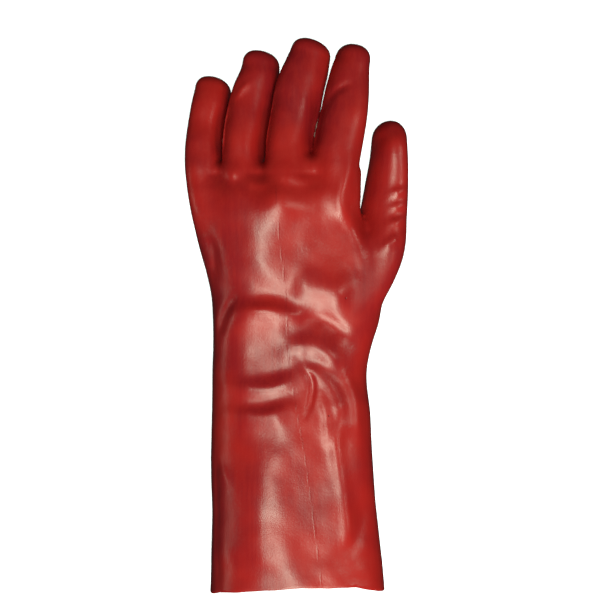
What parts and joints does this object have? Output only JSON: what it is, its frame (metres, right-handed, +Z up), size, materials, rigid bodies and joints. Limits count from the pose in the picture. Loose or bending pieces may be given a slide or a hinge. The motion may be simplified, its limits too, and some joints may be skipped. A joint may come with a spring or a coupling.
{
  "type": "work glove",
  "caption": "Long-cuffed coated work glove for the left hand, open at the hem and hollow to the fingertips, lying palm down with creases at the wrist.",
  "frame": {"origin": "middle of the glove's length and width, on the surface it lies on", "axes": "+Y from the hem to the fingertips, +X towards the thumb, +Z up out of the back of the hand"},
  "size_m": [0.1432, 0.36, 0.0594],
  "materials": {
    "coated_skin": "satin-gloss soft plastic coating on knitted cotton"
  },
  "bodies": {
    "root": {"glove_shell": "coated_skin"}
  },
  "joints": []
}
